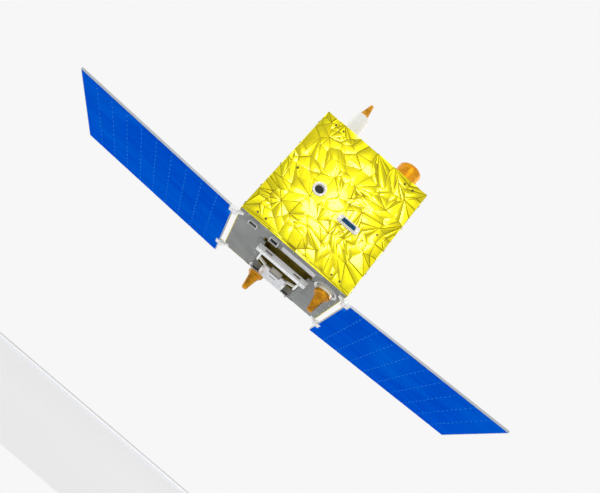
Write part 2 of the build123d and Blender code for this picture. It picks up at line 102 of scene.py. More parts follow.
def endEdit():
    bpy.ops.object.mode_set(mode="OBJECT")


# These work in edit mode
def choose(obj, kind, test):
    # selects the faces, edges or verts that pass the test, and says how many
    bpy.ops.mesh.select_all(action="DESELECT")
    shape = bmesh.from_edit_mesh(obj.data)
    found = [one for one in getattr(shape, kind) if test(one)]
    for one in found:
        one.select_set(True)
    if kind == "verts":
        shape.select_flush(True)
    bmesh.update_edit_mesh(obj.data)
    return len(found)


def chooseAll():
    bpy.ops.mesh.select_all(action="SELECT")


def drawOut(depth):
    bpy.ops.mesh.extrude_region_move(TRANSFORM_OT_translate={"value": (0, 0, depth)})


def faceOutward():
    chooseAll()
    bpy.ops.mesh.normals_make_consistent(inside=False)


def cutAcross(place, along):
    chooseAll()
    bpy.ops.mesh.bisect(plane_co=place, plane_no=along)


def sheet(name, width, height):
    # a flat sheet at the origin, left in edit mode with all of it selected
    deselectAll()
    bpy.ops.mesh.primitive_plane_add(size=1, location=(0, 0, 0))
    made = latest(name)
    startEdit(made)
    chooseAll()
    bpy.ops.transform.resize(value=(width, height, 1))
    return made


# These work in object mode
def addModifier(obj, kind, **settings):
    pick(obj)
    made = obj.modifiers.new(kind.lower(), kind)
    for key, value in settings.items():
        setattr(made, key, value)
    bpy.ops.object.modifier_apply(modifier=made.name)


def settle(obj, place=None):
    # the object goes back to the origin and its place into its mesh
    if place is not None:
        obj.matrix_world = place
    pick(obj)
    bpy.ops.object.transform_apply(location=True, rotation=True, scale=True)
    return obj


def copyTo(obj, place):
    pick(obj)
    bpy.ops.object.duplicate(linked=False)
    made = bpy.context.active_object
    return settle(made, place)


def join(parts, name):
    pick(*parts)
    if len(parts) > 1:
        bpy.ops.object.join()
    made = latest(name)
    made.data.name = name
    return made


def smooth(obj, degrees=35):
    pick(obj)
    bpy.ops.object.shade_smooth_by_angle(angle=math.radians(degrees))


def standFor(obj, body, slot, *replaced):
    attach(obj, body)
    if replaced:
        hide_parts(*replaced)


# Shader maths: a wire is one socket, and sums on wires add Math nodes
class Wire:
    def __init__(self, tree, socket):
        self.tree = tree
        self.socket = socket

    def node(self, kind, settings, sockets, out=0):
        made = self.tree.nodes.new(kind)
        for key, value in settings.items():
            setattr(made, key, value)
        for key, value in sockets.items():
            if isinstance(value, Wire):
                self.tree.links.new(value.socket, made.inputs[key])
            else:
                made.inputs[key].default_value = value
        return Wire(self.tree, made.outputs[out])

    def math(self, operation, *values):
        return self.node("ShaderNodeMath", {"operation": operation}, dict(enumerate(values)))

    def __add__(self, other):
        return self.math("ADD", self, other)

    def __sub__(self, other):
        return self.math("SUBTRACT", self, other)

    def __rsub__(self, other):
        return self.math("SUBTRACT", other, self)

    def __mul__(self, other):
        return self.math("MULTIPLY", self, other)

    __radd__ = __add__
    __rmul__ = __mul__

    def clamp(self, low, high, fromLow=0.0, fromHigh=1.0):
        # the wire's fromLow to fromHigh becomes low to high, and no further
        return self.node(
            "ShaderNodeMapRange",
            {"clamp": True},
            {0: self, 1: fromLow, 2: fromHigh, 3: low, 4: high},
        )

    def spread(self, low, high):
        # low to high becomes 0 to 1
        return self.clamp(0, 1, low, high)

    def mix(self, first, second):
        # colours first to second as the wire goes from 0 to 1
        colors = {0: self, 6: first, 7: second}
        return self.node("ShaderNodeMix", {"data_type": "RGBA"}, colors, out=2)

    def stretch(self, scale, turn=(0, 0, 0), move=(0, 0, 0)):
        sockets = {"Vector": self, "Location": move, "Rotation": turn, "Scale": scale}
        return self.node("ShaderNodeMapping", {}, sockets)

    def noise(self, scale, detail, roughness=0.5, distortion=0.0):
        return self.node(
            "ShaderNodeTexNoise",
            {},
            {
                "Vector": self,
                "Scale": scale,
                "Detail": detail,
                "Roughness": roughness,
                "Distortion": distortion,
            },
        )

    def cells(self, scale):
        sockets = {"Vector": self, "Scale": scale}
        return self.node("ShaderNodeTexVoronoi", {"feature": "SMOOTH_F1"}, sockets)

    def bands(self, way, scale, profile="SIN", distortion=0.0, detailScale=1.0):
        return self.node(
            "ShaderNodeTexWave",
            {"wave_type": "BANDS", "bands_direction": way, "wave_profile": profile},
            {
                "Vector": self,
                "Scale": scale,
                "Distortion": distortion,
                "Detail Scale": detailScale,
            },
            out="Fac",
        )

    def bump(self, distance, strength, under=None):
        sockets = {"Height": self, "Distance": distance, "Strength": strength}
        if under is not None:
            sockets["Normal"] = under
        return self.node("ShaderNodeBump", {}, sockets)


def rgb(red, green, blue):
    # screen values 0 to 255 become linear ones
    return (*[(c / 255) ** 2.2 for c in (red, green, blue)], 1.0)


def newFinish(name, **constants):
    made = bpy.data.materials.new(name)
    made.use_nodes = True
    tree = made.node_tree
    shader = tree.nodes["Principled BSDF"]
    for key, value in constants.items():
        shader.inputs[key.replace("_", " ")].default_value = value
    place = Wire(tree, tree.nodes.new("ShaderNodeTexCoord").outputs["Object"])
    return made, shader, place


def wireTo(shader, **wires):
    for key, wire in wires.items():
        wire.tree.links.new(wire.socket, shader.inputs[key.replace("_", " ")])


# Gold foil
foil = {
    "fresh": rgb(213, 206, 0),
    "deep": rgb(203, 187, 0),
    # painted shade: the colour the folds are darkened to
    "creaseShade": rgb(136, 116, 0),
    "metallic": 0.5,
    "roughness": (0.22, 0.39),
    "coat": 0.42,
    "coatRoughness": 0.1,
    "drift": 9,  # scale of the slow change of colour
    "driftShare": 0.4,  # the rest is each facet's own tone
    "faint": 19,  # scale of where the painted crease shade shows, and how much
    "faintest": 0.05,
    "crinkle": 170,
    "crinkleHigh": 0.0003,
    "wrinkle": 60,
    "wrinkleHigh": 0.0008,
}


def foilFinish(name):
    # fold is 1 along a fold's bottom and 0 on the facets, and each facet has its own tone; the folds
    # are painted darker with the crease shade colour, a painted shade in the creases
    made, shader, place = newFinish(
        name,
        Metallic=foil["metallic"],
        Coat_Weight=foil["coat"],
        Coat_Roughness=foil["coatRoughness"],
        Specular_IOR_Level=0.0,
    )
    fold = place.node("ShaderNodeAttribute", {"attribute_name": "fold"}, {}, out="Fac")
    tone = place.node("ShaderNodeAttribute", {"attribute_name": "tone"}, {}, out="Fac")
    drift = place.noise(foil["drift"], detail=2).spread(0.35, 0.65)
    faint = place.noise(foil["faint"], detail=2).clamp(foil["faintest"], 1, fromLow=0.4, fromHigh=0.62)
    crinkle = place.noise(foil["crinkle"], detail=2, roughness=0.5, distortion=1.0)
    # line is the painted shade along the folds, faint in places
    line = fold * faint
    wrinkle = place.cells(foil["wrinkle"]).bump(foil["wrinkleHigh"], strength=0.15)
    deep = drift * foil["driftShare"] + tone * (1 - foil["driftShare"])
    wireTo(
        shader,
        Base_Color=line.mix(deep.mix(foil["fresh"], foil["deep"]), foil["creaseShade"]),
        Roughness=crinkle.clamp(*foil["roughness"], fromLow=0.3, fromHigh=0.7),
        Normal=crinkle.bump(foil["crinkleHigh"], strength=0.07, under=wrinkle),
    )
    return made


foilCover = foilFinish("foil")

crumple = {
    "wall": 0.003,  # thickness of a blanket
    "largest": 0.0021,  # a facet is split while its area is over a limit between these two
    "smallest": 0.00042,
    "cuts": 5,  # of the first even grid
    "loose": 0.33,  # how far a corner of that grid strays, of its shortest edge
    "long": 3.4,  # how much longer than wide a facet tends to be
    "swirl": 4.0,  # scale of the turning of the grain
    "patches": 16.0,  # scale of the patches of fine and coarse facets
    "shift": 0.45,  # how far a corner strays at each round, of the room it has
    "rounds": 16,
    "lifts": 50,  # each sheet has its own level in the noise, up to this
    "border": 0.004,  # stays flat
    "joined": 0.85,  # share of facets that may join a neighbour
    "flattest": 0.1,  # and how alike in tilt and shape the two must be
    "squarest": 1.4,
    "open": 0.0065,  # half width of a facet that may tilt as far as it likes
    "sink": 0.6,  # how far down a corner may go, of how far up
    "short": 0.6,  # how far a facet's edges may move in, of the shortest of them
    "lean": 1.001,  # so that a corner on the seam counts as in the strip
    # half width from which a facet has a groove round it, and how wide the groove is
    "grooves": [(0.0060, 0.0036), (0.0036, 0.0022), (0.0016, 0.0010)],
    "grooveDepth": 0.26,  # of its width
    "side": 0.5,  # tone of a groove's side
    "pinched": 0.3,  # share of facets pinched to a point outward, then of the rest inward
    "pinch": 0.0012,
    "soft": 50,  # degrees up to which an edge is shaded smooth
    "weight": 80,  # of large faces in the shading
    "hair": 0.0001,  # closer than this is on the edge
}


def halfWidth(face):
    # how far a facet's edges may all move in before two of them meet
    shortest = min(edge.calc_length() for edge in face.edges)
    return min(2 * face.calc_area() / face.calc_perimeter(), crumple["short"] * shortest)


def splitFacets(skin, draw, held, plain):
    # the sheet creases again and again, each crease splitting the two facets beside an edge; the
    # grain turns from place to place, and an edge along it counts for less, so shards are long
    lift = draw.uniform(0, crumple["lifts"])

    def felt(edge):
        run = edge.verts[1].co - edge.verts[0].co
        middle = (edge.verts[1].co + edge.verts[0].co) / 2 * crumple["swirl"]
        turn = math.tau * noise.noise(Vector((middle.x, middle.y, lift)))
        along = run.dot(Vector((math.cos(turn), math.sin(turn), 0)))
        return run.length_squared - along**2 * (1 - crumple["long"] ** -2)

    def limit(spot):
        share = 0.5 + noise.noise(Vector((spot.x, spot.y, lift)) * crumple["patches"])
        return crumple["smallest"] + (crumple["largest"] - crumple["smallest"]) * max(share, 0)

    choose(skin, "faces", lambda face: not plain(face.calc_center_median()))
    bpy.ops.mesh.subdivide(number_cuts=crumple["cuts"])
    shape = bmesh.from_edit_mesh(skin.data)
    for vert in shape.verts:
        if not held(vert):
            reach = crumple["loose"] * min(edge.calc_length() for edge in vert.link_edges)
            vert.co += Vector((draw.uniform(-1, 1), draw.uniform(-1, 1), 0)) * reach
    bmesh.update_edit_mesh(skin.data)
    chooseAll()
    bpy.ops.mesh.quads_convert_to_tris(quad_method="SHORTEST_DIAGONAL")
    bpy.ops.mesh.select_mode(type="EDGE")
    for turn in range(crumple["rounds"]):
        shape = bmesh.from_edit_mesh(skin.data)
        touched, chosen = set(), []
        for face in shape.faces:
            middle = face.calc_center_median()
            if face in touched or face.calc_area() < limit(middle) or plain(middle):
                continue
            # the crease goes where both facets beside it are longest
            edge, longest = None, max(face.edges, key=felt)
            while edge != longest:
                edge = longest
                longest = max((one for near in edge.link_faces for one in near.edges), key=felt)
            if not touched & set(edge.link_faces):
                touched.update(edge.link_faces)
                chosen.append(edge)
        bpy.ops.mesh.select_all(action="DESELECT")
        for edge in chosen:
            edge.select_set(True)
        bmesh.update_edit_mesh(skin.data)
        if chosen:
            bpy.ops.mesh.subdivide(number_cuts=1, ngon=False)
        shape = bmesh.from_edit_mesh(skin.data)
        for vert in shape.verts:
            if not held(vert):
                reach = crumple["shift"] * min(halfWidth(face) for face in vert.link_faces)
                angle = draw.uniform(0, math.tau)
                vert.co += Vector((math.cos(angle), math.sin(angle), 0)) * reach * draw.random()
        bmesh.update_edit_mesh(skin.data)
    bpy.ops.mesh.select_mode(type="FACE")
    choose(skin, "faces", lambda face: draw.random() < crumple["joined"])
    bpy.ops.mesh.tris_convert_to_quads(
        face_threshold=crumple["flattest"], shape_threshold=crumple["squarest"]
    )


def foilSkin(name, width, height, seed, proud, calm=(), seam=None):
    # the seam is the height below which a plain strip runs along the skin's foot
    draw = random.Random(seed)
    skin = sheet(name, width, height)
    if seam is not None:
        cutAcross((0, seam, 0), (0, 1, 0))

    def plain(spot):
        return seam is not None and spot.y < seam

    def edgeGap(vert):
        return min(width / 2 - abs(vert.co.x), height / 2 - abs(vert.co.y))

    def held(vert):
        onSeam = seam is not None and abs(vert.co.y - seam) < crumple["hair"]
        return onSeam or edgeGap(vert) < crumple["hair"]

    splitFacets(skin, draw, held, plain)
    shape = bmesh.from_edit_mesh(skin.data)
    for vert in shape.verts:
        near = any(math.hypot(vert.co.x - x, vert.co.y - y) < radius for x, y, radius in calm)
        if edgeGap(vert) > crumple["border"] and not near and not plain(vert.co * crumple["lean"]):
            room = min(halfWidth(face) for face in vert.link_faces)
            vert.co.z += draw.uniform(-crumple["sink"], 1) * proud * min(1, room / crumple["open"])
    bmesh.update_edit_mesh(skin.data)
    facets = len(shape.faces)
    # a groove runs along each fold, narrower round a small facet
    shape.faces.layers.int.new("groove")
    shape.faces.layers.float.new("tone")
    for least, wide in crumple["grooves"]:
        shape = bmesh.from_edit_mesh(skin.data)
        groove = shape.faces.layers.int["groove"]
        choose(skin, "faces", lambda face: face[groove] == 0 and halfWidth(face) > least)
        for face in shape.faces:
            face[groove] = 1 if face.select else face[groove]
        bpy.ops.mesh.inset(
            thickness=wide,
            depth=wide * crumple["grooveDepth"],
            use_individual=True,
            use_even_offset=False,
        )
        shape = bmesh.from_edit_mesh(skin.data)
        groove, tone = shape.faces.layers.int["groove"], shape.faces.layers.float["tone"]
        for face in shape.faces:
            if face[groove] == 1:
                face[groove] = 2 if face.select else 3
                face[tone] = draw.random() if face.select else crumple["side"]

    def facet(face):
        # groove says 0 for a face that's left as it was, 2 for a facet and 3 for a groove's side
        return face[bmesh.from_edit_mesh(skin.data).faces.layers.int["groove"]] == 2

    def toPinch(face):
        return facet(face) and len(face.verts) > 3 and draw.random() < crumple["pinched"]

    # some facets are pinched to a point, and those with many sides fold along a diagonal
    for sign in (1, -1):
        choose(skin, "faces", toPinch)
        bpy.ops.mesh.poke(offset=sign * crumple["pinch"])
    choose(skin, "faces", lambda face: facet(face) and len(face.verts) > 4)
    bpy.ops.mesh.quads_convert_to_tris(quad_method="LONGEST_DIAGONAL", ngon_method="CLIP")
    shape = bmesh.from_edit_mesh(skin.data)
    # fold is 1 on the grooves' verts and 0 on the facets' verts; the foil is painted darker there, a
    # painted shade in the creases
    fold = shape.verts.layers.float.new("fold")
    for vert in shape.verts:
        inside = any(facet(face) for face in vert.link_faces)
        vert[fold] = 0.0 if inside or vert.is_boundary else 1.0
    bmesh.update_edit_mesh(skin.data)
    endEdit()
    startEdit(skin)
    # the open rim goes back by the blanket's thickness and is closed behind
    choose(skin, "edges", lambda edge: edge.is_boundary)
    drawOut(-crumple["wall"])
    bpy.ops.mesh.edge_face_add()
    faceOutward()
    if bmesh.from_edit_mesh(skin.data).calc_volume(signed=True) < 0:
        bpy.ops.mesh.flip_normals()
    endEdit()
    skin.data.materials.append(foilCover)
    print(name, "facets", facets)
    return skin


def cutOut(obj, tool):
    addModifier(obj, "BOOLEAN", operation="DIFFERENCE", solver="EXACT", object=tool)
    bpy.data.objects.remove(tool)


cutter = {"depth": 0.04, "sides": 48}


def roundCutter(x, y, radius):
    deselectAll()
    bpy.ops.mesh.primitive_cylinder_add(
        vertices=cutter["sides"], radius=radius, depth=cutter["depth"], location=(x, y, 0)
    )
    return bpy.context.active_object


def boxCutter(x, y, width, height):
    deselectAll()
    bpy.ops.mesh.primitive_cube_add(
        size=1, location=(x, y, 0), scale=(width, height, cutter["depth"])
    )
    return bpy.context.active_object


quarter = math.pi / 2
footSeam = -0.2282
# Each skin: size across and up, its middle, the turns that stand it up, seed, how proud it may
# stand, calm spots (x, y, radius), seam, round openings (x, y, radius) and square ones (x, y,
# width, height)
skins = {
    "front": {
        "size": (0.450, 0.478),
        "middle": (0, -0.255, 0.271),
        "turn": Matrix.Rotation(quarter, 4, "X"),
        "seed": 17,
        "proud": 0.0021,
        "calm": [(-0.0715, -0.012, 0.030), (0.055, -0.043, 0.030), (0.102, -0.043, 0.030)],
        "seam": footSeam,
        "round": [(-0.0715, -0.012, 0.0212)],
        "box": [(0.0785, -0.043, 0.0635, 0.0225)],
    },
    "back": {
        "size": (0.450, 0.478),
        "middle": (0, 0.189, 0.271),
        "turn": Matrix.Rotation(math.pi, 4, "Z") @ Matrix.Rotation(quarter, 4, "X"),
        "seed": 11,
        "proud": 0.0021,
        "seam": footSeam,
    },
    "right": {
        "size": (0.4374, 0.478),
        "middle": (0.225, -0.033, 0.271),
        "turn": Matrix.Rotation(quarter, 4, "Z") @ Matrix.Rotation(quarter, 4, "X"),
        "seed": 21,
        "proud": 0.0024,
        "seam": footSeam,
    },
    "left": {
        "size": (0.4374, 0.478),
        "middle": (-0.225, -0.033, 0.271),
        "turn": Matrix.Rotation(-quarter, 4, "Z") @ Matrix.Rotation(quarter, 4, "X"),
        "seed": 31,
        "proud": 0.0024,
        "seam": footSeam,
    },
    "top": {
        "size": (0.4434, 0.4374),
        "middle": (0, -0.033, 0.510),
        "turn": Matrix.Identity(4),
        "seed": 43,
        "proud": 0.0021,
        "calm": [(-0.130, -0.110, 0.045), (0.132, -0.110, 0.060)],
        "round": [(-0.130, -0.110, 0.0386), (0.132, -0.110, 0.0526)],
    },
}
for word, it in skins.items():
    skin = foilSkin(
        word + "_foil", *it["size"], it["seed"], it["proud"], it.get("calm", ()), it.get("seam")
    )
    for x, y, radius in it.get("round", ()):
        cutOut(skin, roundCutter(x, y, radius))
    for x, y, width, height in it.get("box", ()):
        cutOut(skin, boxCutter(x, y, width, height))
    settle(skin, Matrix.Translation(it["middle"]) @ it["turn"])
    smooth(skin, crumple["soft"])
    addModifier(
        skin, "WEIGHTED_NORMAL", mode="FACE_AREA", weight=crumple["weight"], keep_sharp=True
    )
    standFor(skin, "bus", "gold_foil", word + "_blanket")
print("foil skins crumpled")


# Finishes for the metal, paint and plastic pieces: scales of their marks, how much each mark
# shades the colour, and how high it stands
paint = {"cloud": 14, "cloudShare": 0.7, "dust": 120, "peel": 500, "peelHigh": 0.0001}


def paintFinish(name, color, shade, roughness=0.45, grain=0.1, **constants):
    made, shader, place = newFinish(name, **constants)
    cloud = place.noise(paint["cloud"], detail=3).spread(0.3, 0.7)
    dust = place.noise(paint["dust"], detail=2).clamp(0, grain, fromLow=0.5, fromHigh=0.75)
    peel = place.noise(paint["peel"], detail=2)
    wireTo(
        shader,
        Base_Color=(cloud * paint["cloudShare"] + dust).mix(color, shade),
        Roughness=cloud.clamp(roughness - 0.06, roughness + 0.1),
        Normal=peel.bump(paint["peelHigh"], strength=grain),
    )
    return made


metal = {"brush": 420, "brushShare": 0.3, "stain": 22, "stainShare": 0.4, "brushHigh": 0.0001}


def metalFinish(name, color, shade, grain=(1, 1, 1), roughness=0.32, metallic=0.85):
    made, shader, place = newFinish(name, Metallic=metallic)
    brush = place.stretch(grain).noise(metal["brush"], detail=3, roughness=0.6)
    stain = place.noise(metal["stain"], detail=3).spread(0.35, 0.7)
    worn = brush * metal["brushShare"] + stain * metal["stainShare"]
    wireTo(
        shader,
        Base_Color=worn.mix(color, shade),
        Roughness=brush.clamp(roughness - 0.05, roughness + 0.1, fromLow=0.3, fromHigh=0.7),
        Normal=brush.bump(metal["brushHigh"], strength=0.12),
    )
    return made


amber = {
    "coat": 0.3,
    "coatRoughness": 0.08,
    "metallic": 0.7,
    "specular": 0.1,
    # how much painted shade comes from the windings, and how much from the streaks
    "windingShadeShare": 0.22,
    "streakAndShade": 45,
    "streakAndShadeShare": 0.55,
    "crinkle": 260,
    "roughness": (0.24, 0.42),
    "high": 0.0003,
    "strength": 0.25,
}


def amberFinish(name, bright, deep, wraps):
    # film wound round the antenna: fine bands up its height; bright and deep are its lit and shaded
    # colours, so the mix of them is painted shade
    made, shader, place = newFinish(
        name,
        Coat_Weight=amber["coat"],
        Coat_Roughness=amber["coatRoughness"],
        Metallic=amber["metallic"],
        Specular_IOR_Level=amber["specular"],
    )
    # each band darkens up to its step: painted shade under a winding
    band = place.bands("Z", wraps, profile="SAW", distortion=0.6, detailScale=3.0)
    # streaks of the film, which also spread the shaded colour as painted shade
    streakAndShade = place.noise(amber["streakAndShade"], detail=3).spread(0.35, 0.7)
    crinkle = place.noise(amber["crinkle"], detail=3)
    under = band.bump(amber["high"], amber["strength"])
    wireTo(
        shader,
        Base_Color=(band * amber["windingShadeShare"] + streakAndShade * amber["streakAndShadeShare"]).mix(bright, deep),
        Roughness=crinkle.clamp(*amber["roughness"], fromLow=0.3, fromHigh=0.7),
        Normal=crinkle.bump(amber["high"], amber["strength"], under),
    )
    return made


lining = {"foldShare": 0.25, "tone": 9, "roughness": (0.3, 0.5), "high": 0.0008, "strength": 0.4}


def crinkleFinish(name, bright, deep, scale, metallic):
    # a lining of film pressed over a hard wall
    made, shader, place = newFinish(name, Metallic=metallic)
    fold = place.noise(scale, detail=2, roughness=0.4, distortion=1.5).spread(0.42, 0.5)
    tone = place.noise(lining["tone"], detail=3).spread(0.35, 0.65)
    fresh = fold * lining["foldShare"] + tone * (1 - lining["foldShare"])
    wireTo(
        shader,
        Base_Color=fresh.mix(deep, bright),
        Roughness=tone.clamp(*lining["roughness"]),
        Normal=fold.bump(lining["high"], lining["strength"]),
    )
    return made


dish = {
    "metallic": 0.7,
    "marks": 9000,  # the tool's, in radians a metre
    "marksShare": 0.12,
    "rimEdge": 0.0008,
    "roughness": (0.22, 0.3),
    "high": 0.00003,
    "strength": 0.2,
}


def dishFinish(name, rim, floor, middles, radius):
    # a bright turned rim round a darker floor, for each middle; the darker floor is painted shade in
    # the dish's hollow
    made, shader, place = newFinish(name, Metallic=dish["metallic"])
    reach = None
    for x, y in middles:
        flat = place.stretch((1, 1, 0), move=(-x, -y, 0))
        away = flat.node("ShaderNodeVectorMath", {"operation": "LENGTH"}, {0: flat}, out="Value")
        reach = away if reach is None else away.math("MINIMUM", away, reach)
    edge = reach.spread(radius - dish["rimEdge"], radius + dish["rimEdge"])
    turning = reach.math("SINE", reach * dish["marks"]) * 0.5 + 0.5
    wireTo(
        shader,
        Base_Color=(edge * (1 - turning * dish["marksShare"])).mix(floor, rim),
        Roughness=turning.clamp(*dish["roughness"]),
        Normal=turning.bump(dish["high"], dish["strength"]),
    )
    return made


cloth = {"weaveShare": 0.55, "cloud": 11, "cloudShare": 0.2, "high": 0.00015, "strength": 0.4}


def weaveFinish(name, color, shade, pitch, roughness, **constants):
    # woven cloth set in resin
    made, shader, place = newFinish(name, **constants)
    turned = place.stretch((1, 1, 1), turn=(0, 0, math.pi / 4))
    warp, weft = [turned.bands(way, pitch) for way in ("X", "Y")]
    weave = warp * weft
    cloud = place.noise(cloth["cloud"], detail=2).spread(0.3, 0.7)
    wireTo(
        shader,
        Base_Color=(weave * cloth["weaveShare"] + cloud * cloth["cloudShare"]).mix(color, shade),
        Roughness=weave.clamp(roughness - 0.08, roughness + 0.1),
        Normal=weave.bump(cloth["high"], cloth["strength"]),
    )
    return made


coneSpots = [(0.163, -0.176), (-0.056, 0.138)]
alongX, alongY, alongZ = (0.05, 1, 1), (1, 0.05, 1), (1, 1, 0.05)
finishes = {
    "bus_panel": paintFinish("bus_panel", rgb(136, 139, 135), rgb(121, 124, 120), 0.5),
    "structure": metalFinish("structure", rgb(200, 202, 205), rgb(168, 170, 174), alongY),
    "tray_gold": crinkleFinish(
        "tray_gold", rgb(164, 148, 58), rgb(98, 84, 20), scale=30, metallic=0.45
    ),
    "white_paint": paintFinish(
        "white_paint", rgb(255, 255, 253), rgb(251, 251, 248), roughness=0.4, grain=0.02
    ),
    "bright_metal": metalFinish(
        "bright_metal", rgb(230, 232, 234), rgb(196, 198, 202), alongX, 0.28, metallic=0.55
    ),
    "black_metal": paintFinish("black_metal", rgb(30, 30, 31), rgb(16, 16, 17), 0.5),
    "cream_metal": paintFinish("cream_metal", rgb(252, 250, 243), rgb(240, 236, 224), 0.42),
    "teal_insert": paintFinish(
        "teal_insert", rgb(18, 92, 134), rgb(8, 66, 100), 0.5, Specular_IOR_Level=0.2
    ),
    "black_insert": paintFinish("black_insert", rgb(34, 34, 28), rgb(18, 18, 14), 0.55),
    # deep is the cone's shaded side, painted in by the bands and streaks: painted shade
    "amber_radome": amberFinish("amber_radome", rgb(244, 168, 22), rgb(92, 46, 0), wraps=34),
    "wing_board": weaveFinish(
        "wing_board", rgb(196, 200, 204), rgb(168, 174, 180), 160, roughness=0.42, Metallic=0.35
    ),
    "fastener": metalFinish(
        "fastener", rgb(104, 98, 66), rgb(70, 64, 40), roughness=0.45, metallic=0.5
    ),
    "dark_window": paintFinish(
        "dark_window", rgb(10, 10, 12), rgb(4, 4, 5), 0.4, Specular_IOR_Level=0.1
    ),
}
# Nodes whose finish differs from the rest of their slot
special = {
    # deep is the drum's shaded side, painted in by the bands and streaks: painted shade
    "drum_antenna": amberFinish("drum_orange", rgb(246, 168, 0), rgb(186, 108, 0), wraps=22),
    "release_rail": metalFinish(
        "rail_metal", rgb(252, 253, 254), rgb(236, 238, 240), alongX, 0.24, metallic=0.35
    ),
    "slit_sensors": paintFinish("sensor_frame", rgb(206, 207, 204), rgb(184, 185, 182)),
    # the dark floor colour is painted shade in the dish's hollow
    "cone_dishes": dishFinish(
        "dish_silver", rgb(252, 253, 254), rgb(70, 70, 66), coneSpots, radius=0.0372
    ),
    "cone_collars": metalFinish(
        "collar_silver", rgb(250, 244, 228), rgb(222, 208, 176), alongZ, 0.25, metallic=0.6
    ),
}
slotOf = {part["node"]: part["material_slot"] for part in frame["record"]["subparts"]}
for name, node in nodes.items():
    finish = finishes.get(slotOf[name])
    if finish is None:
        continue
    finish = special.get(name, finish)
    node.data.materials.clear()
    node.data.materials.append(finish)
print("finishes made:", len(finishes))


# Solar cells: clipped glass cells in columns on a blue film, with a tab across each joint
wing = {
    "hinge": (0.235, 0.0235, 0.021),
    "tilt": math.radians(2.1),
    "start": 0.0105,  # from the hinge axis
    "end": 0.6805,
    "half": 0.256,
    "columns": 10,
    "rows": 14,
    "board": -0.004,  # underside of the board from the wing's middle plane
    "film": 0.0004,
    "cell": 0.0006,
    "gaps": (0.0026, 0.0008),  # between columns, between rows
    "clip": 0.0042,  # off each corner
    "tab": (0.0052, 0.0030, 0.0003),
    "tabSides": 8,
    "hinges": (-0.238, 0.145),
    "notch": 0.023,  # half width of the notch for a lug, and where it ends
    "notchEnd": 0.0225,
    "spare": 0.001,  # between a lug and the cells beside it
    "lugScrew": 0.0148,  # from the hinge axis
    "lugScrews": (-0.013, 0, 0.013),  # and along it from the middle of each hinge
    "lugScrewScale": 0.7,
}
wingLong = wing["end"] - wing["start"]
pitchX, pitchY = wingLong / wing["columns"], 2 * wing["half"] / wing["rows"]


def wingPlace(side):
    # the wing's own plane: x out from the hinge, z up through the board
    turned = Matrix.Rotation(-wing["tilt"], 4, "Y")
    right = Matrix.Translation(wing["hinge"]) @ turned
    return right if side > 0 else Matrix.Diagonal((-1, 1, 1, 1)) @ right


def nearHinge(y, spare=0.0):
    return any(abs(y - hinge) < wing["notch"] + spare for hinge in wing["hinges"])


# Glass of the cells: the tone goes from dim to clear, and the sheen lies over it in patches
glass = {
    "dim": rgb(0, 79, 206),
    "clear": rgb(0, 91, 218),
    "sheen": rgb(0, 140, 236),
    "most": 0.15,
    "patches": 3.1,
    "fingers": 130,
    "fingerShare": 0.3,  # the rest is each cell's own tone
    "roughness": (0.26, 0.36),
    "fingerHigh": 0.00008,
    "layer": 10,  # deeper than the wing, so that a cell has one tone throughout
}


def cellFinish(name, side):
    made, shader, place = newFinish(name, Specular_IOR_Level=0.0)
    first = side * (wing["hinge"][0] + wing["start"])
    grid = place.node(
        "ShaderNodeMapping",
        {"vector_type": "TEXTURE"},
        {
            "Vector": place,
            "Location": (first, wing["hinge"][1] - wing["half"], 0),
            "Scale": (pitchX, pitchY, glass["layer"]),
        },
    )
    whole = grid.node("ShaderNodeVectorMath", {"operation": "FLOOR"}, {0: grid})
    chance = whole.node("ShaderNodeTexWhiteNoise", {}, {"Vector": whole}, out="Value")
    sheen = place.noise(glass["patches"], detail=2, distortion=0.6).spread(0.5, 0.72)
    fingers = place.bands("Y", glass["fingers"])
    clear = chance * (1 - glass["fingerShare"]) + fingers * glass["fingerShare"]
    tone = clear.mix(glass["dim"], glass["clear"])
    wireTo(
        shader,
        Base_Color=(sheen * glass["most"]).mix(tone, glass["sheen"]),
        Roughness=chance.clamp(*glass["roughness"]),
        Normal=fingers.bump(glass["fingerHigh"], strength=0.3),
    )
    return made


filmFinish = paintFinish(
    "cell_film", rgb(24, 118, 232), rgb(12, 104, 222), 0.5, Specular_IOR_Level=0.0
)
tabFinish = paintFinish(
    "cell_tabs", rgb(76, 164, 244), rgb(58, 148, 236), 0.5, Specular_IOR_Level=0.1
)


def fillWing(obj, columns, rows):
    # the first cell or tab is repeated across the wing
    for count, step in ((columns, (pitchX, 0, 0)), (rows, (0, pitchY, 0))):
        addModifier(
            obj,
            "ARRAY",
            count=count,
            use_relative_offset=False,
            use_constant_offset=True,
            constant_offset_displace=step,
        )


def glassCells(name, filmTop):
    cell = sheet(name, pitchX - wing["gaps"][0], pitchY - wing["gaps"][1])
    bpy.ops.mesh.bevel(offset=wing["clip"], affect="VERTICES")
    drawOut(-wing["cell"])
    chooseAll()
    bpy.ops.transform.translate(
        value=(wing["start"] + pitchX / 2, pitchY / 2 - wing["half"], filmTop)
    )
    endEdit()
    fillWing(cell, wing["columns"], wing["rows"])
    # cells beside a hinge start past its lug
    startEdit(cell, "VERT")
    firstMiddle = wing["start"] + pitchX / 2

    def beside(vert):
        line = int((vert.co.y + wing["half"]) / pitchY)
        middle = (line + 0.5) * pitchY - wing["half"]
        return vert.co.x < firstMiddle and nearHinge(middle, pitchY / 2 - wing["spare"])

    if choose(cell, "verts", beside):
        past = wing["notchEnd"] - wing["start"] + wing["spare"]
        bpy.ops.transform.translate(value=(past, 0, 0))
    faceOutward()
    endEdit()
    return cell


